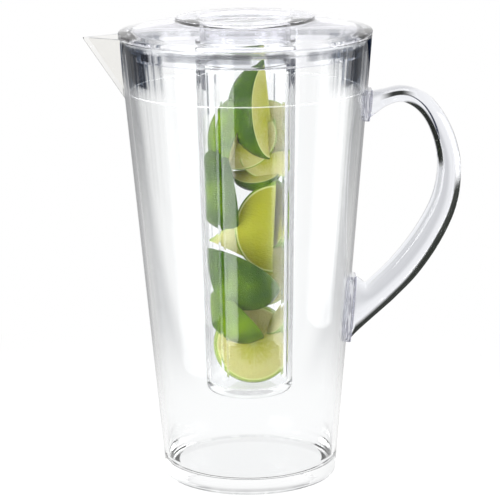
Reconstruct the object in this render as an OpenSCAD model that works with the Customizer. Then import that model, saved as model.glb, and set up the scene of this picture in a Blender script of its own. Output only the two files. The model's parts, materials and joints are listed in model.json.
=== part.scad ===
// Fruit infuser pitcher: a tapered clear pitcher with a V spout and a bonded bar handle,
// a round lid that lifts off and turns, and a slotted tube that screws on under the lid.
// The origin is the centre of the base on the table, with +Z up. The spout points to -X.

/* [Pitcher] */
// Height of the rim above the table
rim_z = 254; // [220:1:290]
// Outer radius of the pitcher at the rim
rim_r = 71; // [66:0.5:80]
// Outer radius of the pitcher at the table, before its edge is rounded
base_r = 49; // [44:0.5:56]
// Thickness of the side wall
wall_t = 2.8; // [2.2:0.1:3.6]
// Thickness of the bottom
floor_t = 8; // [5:0.5:12]
// Radius of the outer edge under the pitcher
base_edge_r = 2.5; // [1:0.5:4]
// Radius of the hollow corner between bottom and wall
floor_fillet_r = 6; // [3:0.5:9]
// Bevel along both edges of the rim
rim_bevel = 0.5; // [0.2:0.1:0.8]

/* [Spout] */
// How far the spout's tip stands out from the rim
spout_reach = 20.5; // [14:0.5:28]
// Angle between the spout's lower edge and the upright
keel_deg = 33.5; // [26:0.5:42]
// Half of the angle between the spout's two sides, seen from above
spout_half_deg = 34; // [26:1:40]
// How far the channel's tip stays behind the outer tip
spout_setback = 3.8; // [3:0.1:5]
// Width of the flat that blunts the tip
spout_blunt = 0.8; // [0.4:0.1:1.5]

/* [Handle] */
// How far the handle's middle line stands out from the rim at its widest
handle_reach = 43.4; // [34:0.5:52]
// Drop from the rim to the middle of the upper pad
upper_pad_drop = 40; // [32:1:50]
// Height of the middle of the lower pad above the table
lower_pad_rise = 96.5; // [84:1:110]
// Height of the upper pad
upper_pad_h = 18; // [14:0.5:22]
// Height of the lower pad
lower_pad_h = 39; // [32:1:44]
// Width of both pads
pad_w = 18; // [16:0.5:21]
// How far the pads stand out from the wall
pad_t = 2.4; // [1.6:0.1:3.5]
// Thickness of the handle over its arch
handle_thin = 9.2; // [7:0.2:12]
// Thickness of the handle at its lower limb
handle_thick = 17.8; // [14:0.2:21]
// Width of the handle
handle_w = 15.5; // [12:0.5:17]
// Margin of each pad around the handle's foot
pad_margin = 1.2; // [0.6:0.1:2]

/* [Lid] */
// Overhang of the lid's flange past the rim
flange_over = 0.2; // [0:0.1:1]
// Thickness of the flange
flange_t = 2.8; // [2:0.1:4]
// Rise of the lid from the flange's top to the edge of its hub
dome_rise = 7.2; // [4:0.2:11]
// Wall thickness of the lid
lid_t = 2.4; // [1.8:0.1:3]
// Radius of the raised hub
hub_r = 38.8; // [35:0.2:44]
// Step up to the hub
hub_step = 0.6; // [0.3:0.1:1.2]
// Radius of the dish in the hub, at its top
dish_r = 26.3; // [25.6:0.1:30]
// Radius of the dish's flat floor
dish_floor_r = 20; // [16:0.5:22]
// Depth of the dish
dish_depth = 2.8; // [1.6:0.1:3.4]
// Depth of the skirt below the rim
skirt_depth = 10; // [8:0.5:13]
// Thickness of the skirt
skirt_t = 3.4; // [2.8:0.1:4.2]
// Gap between the skirt's lower edge and the pitcher's wall
skirt_gap = 0.9; // [0.5:0.1:1.5]
// Width of the pouring gap in the skirt, as an angle about the axis
pour_gap_deg = 56; // [40:1:80]

/* [Seals] */
// Height of the skirt's seal ring
seal_h = 2.8; // [2:0.1:3.4]
// Depth of the groove that holds the seal ring
groove_d = 1.6; // [1.2:0.1:2]
// Distance from the rim down to the groove
groove_drop = 0.9; // [0.6:0.1:1.4]
// Thickness of the gasket on top of the tube
gasket_t = 2.3; // [1.6:0.1:3]
// Running gap around each seal and around the lid's plug
run_gap = 0.3; // [0.25:0.05:0.4]

/* [Infuser tube] */
// Length of the tube
tube_l = 198; // [170:1:205]
// Outer radius of the tube at its top
tube_top_r = 28.2; // [27.6:0.1:29.5]
// Outer radius of the tube at its bottom
tube_bottom_r = 24.5; // [22:0.1:26.5]
// Wall thickness of the tube
tube_t = 2.4; // [2:0.1:2.8]
// Thickness of the tube's bottom
tube_floor_t = 4.5; // [3:0.5:7]
// Radius of the tube's lower outer edge
tube_edge_r = 4; // [2:0.5:5]
// Number of slots around the tube
slot_count = 4; // [3:1:8]
// Width of each slot
slot_w = 3.6; // [2.4:0.2:3.8]
// Solid length of tube left below the slots
slot_low_margin = 10; // [8:0.5:20]
// Solid length of tube left above the slots
slot_top_margin = 11; // [10:0.5:20]
// Angle of the first slot about the axis
slot_phase_deg = 55; // [0:5:90]
// Drop from the rim to the lid's shoulder, which the gasket seats on
shoulder_drop = 4.7; // [3.5:0.1:6]
// Thickness of the lid's shoulder
shoulder_t = 2.4; // [1.8:0.1:3.2]
// Length of the lid's plug inside the tube's neck
plug_l = 8; // [6:0.5:9]

/* [Hidden] */
$fn = 128;
clear_tint = [0.86, 0.9, 0.92, 0.35];
seal_tint = [0.93, 0.94, 0.94, 0.7];

overrun = 1;
arc_steps = 6;
taper_deg = atan((rim_r - base_r)/rim_z);
function wall_r(z) = base_r + (rim_r - base_r)*z/rim_z;
function bore_r(z) = wall_r(z) - wall_t/cos(taper_deg);

// Points of an arc about a centre, from angle a0 to a1
function arc(centre, r, a0, a1) =
    [for (i = [0:arc_steps]) let (a = a0 + (a1 - a0)*i/arc_steps) centre + r*[cos(a), sin(a)]];

// Pitcher: the vessel is turned about the axis
module vessel_outside() {
    edge_z = base_edge_r*(1 + sin(-taper_deg));
    edge_centre = [wall_r(edge_z) - base_edge_r*cos(taper_deg), base_edge_r];
    rotate_extrude() polygon(concat(
        [[0, 0]],
        arc(edge_centre, base_edge_r, -90, -taper_deg),
        [[wall_r(rim_z - rim_bevel), rim_z - rim_bevel], [rim_r - rim_bevel, rim_z], [0, rim_z]]));
}

module vessel_inside() {
    fillet_z = floor_t + floor_fillet_r;
    fillet_low_z = fillet_z - floor_fillet_r*sin(taper_deg);
    fillet_centre = [bore_r(fillet_low_z) - floor_fillet_r*cos(taper_deg), fillet_z];
    rotate_extrude() polygon(concat(
        [[0, floor_t]],
        arc(fillet_centre, floor_fillet_r, -90, -taper_deg),
        [[bore_r(rim_z - rim_bevel), rim_z - rim_bevel], [bore_r(rim_z) + rim_bevel, rim_z],
         [bore_r(rim_z) + rim_bevel, rim_z + overrun], [0, rim_z + overrun]]));
}

// Spout: a wedge with two flat sides that meet along the keel
spout_root_r = bore_r(rim_z) - wall_t*3;
module spout_wedge(setback, top_z) {
    tip_x = -(rim_r + spout_reach) + setback - (top_z - rim_z)*tan(keel_deg);
    run = -spout_root_r - tip_x;
    side = run*tan(spout_half_deg);
    depth = run/tan(keel_deg);
    polyhedron(
        points = [[tip_x, 0, top_z], [-spout_root_r, side, top_z], [-spout_root_r, -side, top_z],
                  [-spout_root_r, 0, top_z - depth]],
        faces = [[0, 1, 2], [0, 3, 1], [0, 2, 3], [1, 3, 2]]);
}

module spout_outside() {
    intersection() {
        spout_wedge(0, rim_z);
        translate([-(rim_r + spout_reach) + spout_blunt, -rim_r, 0]) cube([rim_r, 2*rim_r, rim_z]);
    }
}

// Pads: flat bosses on the wall that the handle's feet are bonded to
pad_corner_r = pad_w/4;
pad_root = wall_t/2;
upper_pad_z = rim_z - upper_pad_drop;
module pad(z, h) {
    translate([wall_r(z), 0, z]) rotate([0, 90 + taper_deg, 0]) translate([0, 0, -pad_root])
        linear_extrude(pad_root + pad_t) union() {
            square([h - 2*pad_corner_r, pad_w], center = true);
            square([h, pad_w - 2*pad_corner_r], center = true);
            for (sx = [-1, 1]) for (sy = [-1, 1])
                translate([sx*(h/2 - pad_corner_r), sy*(pad_w/2 - pad_corner_r)]) circle(pad_corner_r, $fn = 48);
        }
}

module pitcher_body() {
    color(clear_tint) difference() {
        union() {
            vessel_outside();
            spout_outside();
            pad(upper_pad_z, upper_pad_h);
            pad(lower_pad_rise, lower_pad_h);
        }
        vessel_inside();
        spout_wedge(spout_setback, rim_z + overrun);
    }
}

// Handle: an oval bar swept along a smooth line between the two pads
pad_face_x = pad_t/cos(taper_deg);
upper_foot = [wall_r(upper_pad_z) + pad_face_x, upper_pad_z];
lower_foot = [wall_r(lower_pad_rise) + pad_face_x, lower_pad_rise];
wall_up = [sin(taper_deg), cos(taper_deg)];
// Stations down the handle: share of the reach, share of the height between the pads,
// and share of the way from the thin to the thick size
handle_shares = [
    [0.16, 1.034, 0.07], [0.39, 1.051, 0], [0.63, 1.014, 0.16], [0.81, 0.935, 0.23], [0.945, 0.82, 0.37],
    [1, 0.684, 0.51], [0.933, 0.522, 0.7], [0.726, 0.361, 0.86], [0.438, 0.212, 0.98], [0.161, 0.106, 1.02],
    [-0.03, 0.045, 1.25]];
upper_foot_h = upper_pad_h - 2*pad_margin;
lower_foot_h = lower_pad_h - 2*pad_margin;
stations = concat(
    [[upper_foot.x, upper_foot.y, upper_foot_h]],
    [for (s = handle_shares) [
        rim_r + s[0]*handle_reach,
        lower_foot.y + s[1]*(upper_foot.y - lower_foot.y),
        handle_thin + s[2]*(handle_thick - handle_thin)]],
    [[lower_foot.x, lower_foot.y, lower_foot_h]]);
station_last = len(stations) - 1;
ring_steps = 4;
ring_sides = 24;
ring_last = station_last*ring_steps;
oval_power = 0.85;

// A smooth curve through the stations
function station(i) = i < 0 ? 2*stations[0] - stations[1]
    : i > station_last ? 2*stations[station_last] - stations[station_last - 1] : stations[i];
function curve(a, b, c, d, t) = 0.5*(2*b + (c - a)*t + (2*a - 5*b + 4*c - d)*t*t + (3*b - a - 3*c + d)*t*t*t);
function along(k) = let (u = min(k/ring_steps, station_last - 1e-6), i = floor(u))
    curve(station(i - 1), station(i), station(i + 1), station(i + 2), u - i);
function flat_part(p) = [p[0], p[1]];
function unit(v) = v/norm(v);
function heading(k) = unit(flat_part(along(min(k + 1, ring_last)) - along(max(k - 1, 0))));
function across(k) = let (h = heading(k)) [-h.y, h.x];
// Near each foot the section turns into the plane of the pad
foot_rings = 7;
function ease(t) = t*t*(3 - 2*t);
function section_axis(k) =
    k < foot_rings ? unit(wall_up + ease(k/foot_rings)*(across(k) - wall_up))
    : k > ring_last - foot_rings ? unit(-wall_up + ease((ring_last - k)/foot_rings)*(across(k) + wall_up))
    : across(k);
foot_w = pad_w - 2*pad_margin;
function width_at(k) = handle_w + (foot_w - handle_w)*pow(1 - min(1, min(k, ring_last - k)/foot_rings), 2);
function oval(v) = sign(v)*pow(abs(v), oval_power);
function ring(k) = let (p = along(k), v = section_axis(k), w = width_at(k))
    [for (j = [0:ring_sides - 1]) let (a = 360*j/ring_sides, h = p[2]/2*oval(cos(a)))
        [p[0] + v.x*h, w/2*oval(sin(a)), p[1] + v.y*h]];

module handle() {
    points = [for (k = [0:ring_last]) each ring(k)];
    sides = [for (k = [0:ring_last - 1]) for (j = [0:ring_sides - 1])
        let (a = k*ring_sides + j, b = k*ring_sides + (j + 1)%ring_sides)
        each [[a, a + ring_sides, b], [b, a + ring_sides, b + ring_sides]]];
    first_cap = [for (j = [0:ring_sides - 1]) j];
    last_cap = [for (j = [ring_sides - 1:-1:0]) ring_last*ring_sides + j];
    color(clear_tint) polyhedron(points = points, faces = concat([first_cap, last_cap], sides));
}

// Lid: one turned profile with flange, dome, hub, dish, skirt, shoulder and plug
flange_r = rim_r + flange_over;
flange_edge = flange_t/4;
flange_top = rim_z + flange_t;
hub_z = flange_top + dome_rise + hub_step;
dish_z = hub_z - dish_depth;
shoulder_z = rim_z - shoulder_drop;
tube_top_z = shoulder_z - gasket_t;
tube_bottom_z = tube_top_z - tube_l;
plug_z = tube_top_z - plug_l;
function tube_r(z) = tube_bottom_r + (tube_top_r - tube_bottom_r)*(z - tube_bottom_z)/tube_l;
plug_r = tube_r(plug_z) - tube_t - run_gap;
plug_in_r = plug_r - lid_t;
shoulder_r = tube_top_r;
skirt_z = rim_z - skirt_depth;
skirt_r = bore_r(skirt_z) - skirt_gap;
skirt_in_r = skirt_r - skirt_t;
groove_top = rim_z - groove_drop;
groove_low = groove_top - seal_h - 2*run_gap;
groove_r = skirt_r - groove_d;
dome_slope = dome_rise/(flange_r - hub_r);
skirt_meets_z = flange_top + (flange_r - skirt_in_r)*dome_slope - lid_t;

module lid() {
    color(clear_tint) difference() {
        rotate_extrude() polygon([
            [0, dish_z], [dish_floor_r, dish_z], [dish_r, hub_z], [hub_r - hub_step, hub_z],
            [hub_r, hub_z - hub_step], [flange_r - flange_edge, flange_top], [flange_r, flange_top - flange_edge],
            [flange_r, rim_z], [skirt_r, rim_z], [skirt_r, groove_top], [groove_r, groove_top],
            [groove_r, groove_low], [skirt_r, groove_low], [skirt_r, skirt_z + rim_bevel],
            [skirt_r - rim_bevel, skirt_z], [skirt_in_r, skirt_z], [skirt_in_r, skirt_meets_z],
            [hub_r - hub_step, hub_z - hub_step - lid_t], [plug_r, hub_z - hub_step - lid_t],
            [plug_r, shoulder_z + shoulder_t], [shoulder_r, shoulder_z + shoulder_t],
            [shoulder_r, shoulder_z], [plug_r, shoulder_z], [plug_r, plug_z + rim_bevel],
            [plug_r - rim_bevel, plug_z], [plug_in_r, plug_z], [plug_in_r, dish_z - lid_t], [0, dish_z - lid_t]]);
        pouring_gap();
    }
}

// The pouring gap faces the spout and stays below the seal's groove
module pouring_gap() {
    gap_top = groove_low - groove_d;
    rotate([0, 0, 180 - pour_gap_deg/2]) rotate_extrude(angle = pour_gap_deg)
        translate([skirt_in_r - overrun, skirt_z - overrun])
            square([skirt_t + 2*overrun, gap_top - skirt_z + overrun]);
}

// Seal ring: a soft ring whose lip reaches out to the pitcher's wall
seal_in_r = groove_r + run_gap;
seal_mid_z = groove_top - run_gap - seal_h/2;
seal_lip_r = bore_r(seal_mid_z) - run_gap;
seal_lip_h = seal_h/4;
module lid_seal() {
    color(seal_tint) rotate_extrude() polygon([
        [seal_in_r, seal_mid_z - seal_h/2], [skirt_r, seal_mid_z - seal_h/2],
        [seal_lip_r, seal_mid_z - seal_lip_h/2], [seal_lip_r, seal_mid_z + seal_lip_h/2],
        [skirt_r, seal_mid_z + seal_h/2], [seal_in_r, seal_mid_z + seal_h/2]]);
}

// Gasket: a flat ring between the tube's top and the lid's shoulder
module infuser_gasket() {
    gasket_in_r = plug_r + run_gap;
    color(seal_tint) translate([0, 0, tube_top_z]) rotate_extrude()
        translate([gasket_in_r, 0]) square([shoulder_r - gasket_in_r, gasket_t]);
}

// Infuser tube: a tapered tube with a closed bottom and upright slots
module tube_outside() {
    side_z = tube_bottom_z + tube_edge_r;
    rotate_extrude() polygon(concat(
        [[0, tube_bottom_z]],
        arc([tube_r(side_z) - tube_edge_r, side_z], tube_edge_r, -90, 0),
        [[tube_top_r - rim_bevel, tube_top_z], [0, tube_top_z]]));
}

module tube_inside() {
    inner_edge_r = tube_edge_r - tube_t/2;
    floor_z = tube_bottom_z + tube_floor_t;
    side_z = floor_z + inner_edge_r;
    rotate_extrude() polygon(concat(
        [[0, floor_z]],
        arc([tube_r(side_z) - tube_t - inner_edge_r, side_z], inner_edge_r, -90, 0),
        [[tube_top_r - tube_t, tube_top_z], [tube_top_r - tube_t, tube_top_z + overrun],
         [0, tube_top_z + overrun]]));
}

module slot() {
    low_z = tube_bottom_z + slot_low_margin + slot_w/2;
    top_z = tube_top_z - slot_top_margin - slot_w/2;
    translate([0, -slot_w/2, low_z]) cube([tube_top_r + overrun, slot_w, top_z - low_z]);
    for (z = [low_z, top_z])
        translate([0, 0, z]) rotate([0, 90, 0]) cylinder(d = slot_w, h = tube_top_r + overrun, $fn = 32);
}

module infuser_tube() {
    color(clear_tint) difference() {
        tube_outside();
        tube_inside();
        for (i = [0:slot_count - 1]) rotate([0, 0, slot_phase_deg - 90 + 360*i/slot_count]) slot();
    }
}

pitcher_body();
handle();
lid();
lid_seal();
infuser_gasket();
infuser_tube();
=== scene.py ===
import json
from math import atan2, cos, pi, radians, sin, tan

import bmesh
import bpy
from bpy.props import FloatProperty, FloatVectorProperty, IntProperty, PointerProperty
from mathutils import Matrix, Vector

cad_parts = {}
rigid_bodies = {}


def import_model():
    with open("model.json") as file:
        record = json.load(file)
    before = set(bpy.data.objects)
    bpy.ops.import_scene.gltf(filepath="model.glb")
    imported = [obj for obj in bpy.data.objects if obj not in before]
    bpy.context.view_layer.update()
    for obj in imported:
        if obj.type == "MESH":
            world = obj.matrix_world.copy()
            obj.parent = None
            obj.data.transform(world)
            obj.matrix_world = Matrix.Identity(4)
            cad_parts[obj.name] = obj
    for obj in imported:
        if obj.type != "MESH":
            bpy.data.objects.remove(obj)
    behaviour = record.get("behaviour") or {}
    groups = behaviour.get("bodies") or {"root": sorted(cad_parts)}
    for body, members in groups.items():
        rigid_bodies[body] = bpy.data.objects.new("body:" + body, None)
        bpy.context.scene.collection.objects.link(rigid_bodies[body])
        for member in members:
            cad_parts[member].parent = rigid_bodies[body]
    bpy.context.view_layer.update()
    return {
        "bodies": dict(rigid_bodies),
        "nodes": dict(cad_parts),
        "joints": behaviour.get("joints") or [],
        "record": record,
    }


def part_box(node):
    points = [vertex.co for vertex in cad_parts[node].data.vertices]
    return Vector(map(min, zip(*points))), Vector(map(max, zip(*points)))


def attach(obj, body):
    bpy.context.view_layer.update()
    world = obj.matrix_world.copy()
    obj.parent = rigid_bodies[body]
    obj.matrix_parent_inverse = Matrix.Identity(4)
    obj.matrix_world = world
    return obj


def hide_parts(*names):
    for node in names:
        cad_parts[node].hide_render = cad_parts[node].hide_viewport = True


bl_info = {
    "name": "Fruit infuser pitcher",
    "version": (1, 0, 0),
    "blender": (4, 5, 0),
    "location": "View3D > Sidebar > Pitcher",
    "description": "Clear acrylic pitcher with a lid, a slotted infuser tube and cut limes",
    "category": "Add Mesh",
}

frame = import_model()

MM = 0.001
# How far a cutting shape goes past the face it cuts, in millimetres.
OVERRUN = 1.0
PITCHER_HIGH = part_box("pitcher_body")[1]
LID_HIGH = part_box("lid")[1]
TUBE_LOW, TUBE_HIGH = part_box("infuser_tube")


def size(name, about, value):
    """A size in millimetres that a user can change."""
    return FloatProperty(name=name, description=about, default=value, min=0)


def turn(name, about, degrees):
    """An angle that a user can change."""
    return FloatProperty(name=name, description=about, default=radians(degrees), subtype="ANGLE")


def colour(name, about, value):
    """A colour that a user can change."""
    return FloatVectorProperty(name=name, description=about, default=value, subtype="COLOR", min=0, max=1)


class PitcherSizes(bpy.types.PropertyGroup):
    """Sizes of the vessel, its spout and its handle, in millimetres"""

    rim_r: size("Rim radius", "Outer radius at the rim", 71.0)
    rim_z: size("Rim height", "Height of the rim above the table", PITCHER_HIGH[2] / MM)
    base_r: size("Base radius", "Outer radius at the table", 49.0)
    wall: size("Wall", "Thickness of the side wall, measured level", 2.81)
    floor: size("Floor", "Thickness of the bottom", 8.0)
    edge: size("Lower edge", "Rounding of the outer lower edge", 2.5)
    corner: size("Inner corner", "Rounding between floor and wall", 6.0)
    rim_edge: size("Rim edge", "Rounding of the rim", 0.6)
    spout_reach: size("Spout reach", "How far the spout's tip stands out from the rim", 20.5)
    spout_blunt: size("Spout tip", "Width of the flat that blunts the tip", 0.8)
    spout_setback: size("Spout wall", "How far the channel stays behind the spout's tip", 3.8)
    keel_angle: turn("Keel angle", "Lean of the spout's lower edge", 33.5)
    spout_angle: turn("Spout half angle", "Half angle of the spout's V", 34)
    upper_pad_z: size("Upper pad height", "Height of the upper pad's middle", 214.0)
    lower_pad_z: size("Lower pad height", "Height of the lower pad's middle", 96.5)
    upper_pad_h: size("Upper pad size", "Height of the upper pad itself", 18.0)
    lower_pad_h: size("Lower pad size", "Height of the lower pad itself", 39.0)
    pad_w: size("Pad width", "Width of both pads", 18.0)
    pad_t: size("Pad thickness", "How far the pads stand out from the wall", 2.4)
    pad_margin: size("Pad margin", "Margin of each pad around the handle's foot", 1.2)
    handle_reach: size("Handle reach", "Reach of the handle's middle line past the rim", 43.4)
    handle_thin: size("Handle, thin", "Thickness of the handle over its arch", 9.2)
    handle_thick: size("Handle, thick", "Thickness of the handle's lower limb", 17.8)
    handle_w: size("Handle width", "Width of the handle", 15.5)
    joint: size("Joint line", "Hairline between a pad and the handle's foot", 0.1)
    drink_z: size("Drink level", "Height of the drink's surface", 223.5)


class LidSizes(bpy.types.PropertyGroup):
    """Sizes of the lid and its two soft rings, in millimetres"""

    flange_r: size("Flange radius", "Outer radius of the flange", 71.2)
    flange_t: size("Flange thickness", "Thickness of the flange", 2.8)
    shell: size("Lid wall", "Wall thickness of the lid", 2.4)
    hub_r: size("Hub radius", "Radius of the raised hub", 38.8)
    hub_z: size("Hub height", "Height of the hub's flat top", LID_HIGH[2] / MM)
    hub_step: size("Hub step", "Step up to the hub", 0.6)
    dish_r: size("Dish radius", "Radius of the dish at its top", 26.3)
    dish_floor_r: size("Dish floor radius", "Radius of the dish's floor", 20.0)
    dish_depth: size("Dish depth", "Depth of the dish", 2.8)
    skirt_r: size("Skirt radius", "Outer radius of the skirt", 66.42)
    skirt_t: size("Skirt thickness", "Thickness of the skirt", 3.4)
    skirt_z: size("Skirt height", "Height of the skirt's lower edge", 244.0)
    groove_d: size("Groove depth", "Depth of the seal's groove", 1.6)
    groove_low: size("Groove low side", "Height of the groove's lower side", 249.7)
    groove_top: size("Groove top side", "Height of the groove's upper side", 253.1)
    shoulder_z: size("Shoulder height", "Height that the gasket seats at", 249.3)
    shoulder_t: size("Shoulder thickness", "Thickness of the shoulder", 2.4)
    plug_r: size("Plug radius", "Outer radius of the plug", 25.35)
    plug_z: size("Plug height", "Height of the plug's lower edge", 239.0)
    pour_gap: turn("Pouring gap", "Width of the gap in the skirt", 56)
    pour_gap_z: size("Pouring gap height", "Height of the gap's upper side", 248.1)
    lip_r: size("Seal lip radius", "Outer radius of the seal's lip", 67.66)


class InfuserSizes(bpy.types.PropertyGroup):
    """Sizes of the slotted tube, in millimetres"""

    top_z: size("Top", "Height of the tube's upper edge", TUBE_HIGH[2] / MM)
    bottom_z: size("Bottom", "Height of the tube's lower face", TUBE_LOW[2] / MM)
    top_r: size("Top radius", "Outer radius at the top", 28.2)
    bottom_r: size("Bottom radius", "Outer radius at the bottom", 24.5)
    wall: size("Tube wall", "Wall thickness", 2.4)
    floor: size("Tube floor", "Thickness of the closed end", 4.5)
    edge: size("Lower edge", "Rounding of the lower outer edge", 4.0)
    slot_w: size("Slot width", "Width of each slot", 3.6)
    slot_low: size("Below slots", "Solid length below the slots", 10.0)
    slot_top: size("Above slots", "Solid length above the slots", 11.0)
    slots: IntProperty(name="Slots", description="Number of slots", default=4, min=1)
    phase: turn("First slot", "Angle of the first slot about the axis", -35)


class Finishes(bpy.types.PropertyGroup):
    """Colours of the acrylic, the soft rings and the fruit, and of the painted shade at the acrylic's edges"""

    acrylic: colour("Acrylic", "Colour of light that passes the acrylic", (0.985, 0.99, 0.992))
    # painted shade: grey at the tube's grazing faces, standing in for the dark surroundings seen there
    tube_edge_painted_shade: colour("Tube edge", "Colour that gathers at the tube's grazing faces", (0.72, 0.74, 0.77))
    # painted reflection and shade: dark navy at the vessel's edges above the drink, at some lower edges and at
    # the foot
    dry_edge_painted_shade: colour("Edge above the drink", "Colour of the vessel's upper edges", (0.04, 0.055, 0.085))
    # painted shade: grey at the vessel's grazing faces below the drink and in its inner corner
    wet_edge_painted_shade: colour("Edge below the drink", "Colour that gathers at the filled edges", (0.6, 0.6, 0.57))
    lid_tint: colour("Lid", "Colour of light that passes the lid", (0.955, 0.955, 0.975))
    # painted shade: lavender-grey at the lid's grazing faces
    lid_edge_painted_shade: colour("Lid edge", "Colour that gathers at the lid's grazing faces", (0.84, 0.84, 0.91))
    # painted shade: near black on the bar's edges that face down and aside, in its bend, and on the spout's
    # rims
    under_edge_painted_shade: colour("Dark rims", "Colour of the bar's lower edges and spout's rims", (0.012, 0.014, 0.011))
    spout_tint: colour("Spout", "Colour of light that passes the spout's thin sides", (0.93, 0.925, 0.91))
    # painted shade: a grey that darkens the light through the pads
    pad_painted_shade: colour("Pads", "Colour of light that passes the handle's pads", (0.72, 0.73, 0.77))
    # painted shade at the pads' grazing faces and in their upright streaks
    pad_edge_painted_shade: colour("Pad edge", "Colour that gathers at the pads' grazing faces", (0.15, 0.15, 0.2))
    bar_tint: colour("Handle", "Colour of light that passes the bar", (0.9, 0.91, 0.945))
    silicone: colour("Silicone", "Colour of the two soft rings", (0.93, 0.93, 0.93))
    peel_dark: colour("Dark peel", "Darkest green of the peel", (0.024, 0.062, 0.003))
    peel_light: colour("Light peel", "Lightest green of the peel", (0.14, 0.23, 0.003))
    pith: colour("Pith", "Pale layer under the peel", (0.44, 0.46, 0.19))
    flesh_deep: colour("Deep flesh", "Deepest colour of the flesh", (0.25, 0.255, 0.008))
    flesh_pale: colour("Pale flesh", "Palest colour of the flesh", (0.37, 0.35, 0.13))


# Shapes

def rounded(corners, arc_steps=5):
    """Points of an outline in the XZ plane, from corners of (r, z) or (r, z, rounding) in millimetres."""
    points = []
    count = len(corners)
    for i, corner in enumerate(corners):
        here = Vector(corner[:2])
        rounding = corner[2] if len(corner) > 2 else 0
        if not rounding:
            points.append(here)
            continue
        before = Vector(corners[i - 1][:2]) - here
        after = Vector(corners[(i + 1) % count][:2]) - here
        half = before.angle(after) / 2
        reach = min(rounding / tan(half), before.length * 0.49, after.length * 0.49)
        radius = reach * tan(half)
        centre = here + (before.normalized() + after.normalized()).normalized() * (radius / sin(half))
        start = here + before.normalized() * reach - centre
        end = here + after.normalized() * reach - centre
        first = atan2(start.y, start.x)
        sweep = (atan2(end.y, end.x) - first + pi) % (2 * pi) - pi
        for k in range(arc_steps + 1):
            a = first + sweep * k / arc_steps
            points.append(centre + Vector((cos(a), sin(a))) * radius)
    return [Vector((p.x, 0, p.y)) * MM for p in points]


def outline_edges(bm, points, closed=False):
    """Vertices and edges of an outline."""
    verts = [bm.verts.new(p) for p in points]
    pairs = list(zip(verts, verts[1:])) + ([(verts[-1], verts[0])] if closed else [])
    return verts, [bm.edges.new(pair) for pair in pairs]


def turned(outline, closed=False, steps=192):
    """A bmesh of an outline turned once about the upright axis."""
    bm = bmesh.new()
    verts, edges = outline_edges(bm, outline, closed)
    bmesh.ops.spin(
        bm, geom=verts + edges, cent=(0, 0, 0), axis=(0, 0, 1), angle=2 * pi, steps=steps, use_merge=True
    )
    bmesh.ops.remove_doubles(bm, verts=bm.verts, dist=1e-7)
    bmesh.ops.recalc_face_normals(bm, faces=bm.faces)
    return bm


def part_turned(outline, start, angle, steps=48):
    """A bmesh of a closed outline turned part of the way, with both ends closed."""
    bm = bmesh.new()
    verts, edges = outline_edges(bm, outline, closed=True)
    bmesh.ops.rotate(bm, verts=verts, matrix=Matrix.Rotation(start, 3, "Z"))
    bmesh.ops.edgeloop_fill(bm, edges=edges)
    bmesh.ops.spin(
        bm, geom=bm.faces[:], cent=(0, 0, 0), axis=(0, 0, 1), angle=angle, steps=steps, use_merge=False
    )
    bmesh.ops.holes_fill(bm, edges=bm.edges, sides=0)
    bmesh.ops.remove_doubles(bm, verts=bm.verts, dist=1e-7)
    bmesh.ops.recalc_face_normals(bm, faces=bm.faces)
    return bm


def new_object(name, bm):
    """A new object from a bmesh, at the origin."""
    mesh = bpy.data.meshes.new(name)
    bm.to_mesh(mesh)
    bm.free()
    obj = bpy.data.objects.new(name, mesh)
    bpy.context.scene.collection.objects.link(obj)
    return obj


def keep_result(obj):
    """Replaces an object's mesh with the result of its modifiers."""
    seen = obj.evaluated_get(bpy.context.evaluated_depsgraph_get())
    mesh = bpy.data.meshes.new_from_object(seen)
    obj.modifiers.clear()
    obj.data = mesh


def carve(target, tool_bm, operation="DIFFERENCE"):
    """Cuts a tool's shape from an object, or joins it on."""
    tool = new_object("tool", tool_bm)
    change = target.modifiers.new("carve", "BOOLEAN")
    change.object = tool
    change.operation = operation
    change.solver = "EXACT"
    keep_result(target)
    bpy.data.objects.remove(tool)


def true_round(obj, cones):
    """Gives faces on known cones their exact normals. A cone is (z, r) twice in millimetres, and its side."""
    mesh = obj.data
    normals = [Vector((0, 0, 0))] * len(mesh.loops)
    for face in mesh.polygons:
        centre = face.center / MM
        for z0, r0, z1, r1, side in cones:
            slope = (r1 - r0) / (z1 - z0)
            if abs(centre.xy.length - r0 - slope * (centre.z - z0)) > 0.3:
                continue

            def exact(point):
                flat = point.xy.normalized()
                return Vector((flat.x, flat.y, -slope)).normalized() * side

            if face.normal.dot(exact(face.center)) > 0.999:
                for k in face.loop_indices:
                    normals[k] = exact(mesh.vertices[mesh.loops[k].vertex_index].co)
    mesh.normals_split_custom_set(normals)


def finish_piece(obj, material_name, body, stands_for=(), cones=(), sharp=35):
    """Shades a piece smooth but for its sharp edges, gives it a material and ties it to its body."""
    mesh = obj.data
    mesh.materials.clear()
    mesh.materials.append(bpy.data.materials[material_name])
    mesh.shade_smooth()
    mesh.set_sharp_from_angle(angle=radians(sharp))
    if cones:
        true_round(obj, cones)
    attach(obj, body)
    if stands_for:
        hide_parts(*stands_for)


def add_finish(obj, material_name, chosen, flat=False):
    """Gives one more material to the faces that a test picks, and can shade the wide flat ones flat."""
    obj.data.materials.append(bpy.data.materials[material_name])
    for face in obj.data.polygons:
        if chosen(face):
            face.material_index = len(obj.data.materials) - 1
            face.use_smooth = not flat or len(face.vertices) <= 4


# Materials

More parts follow.
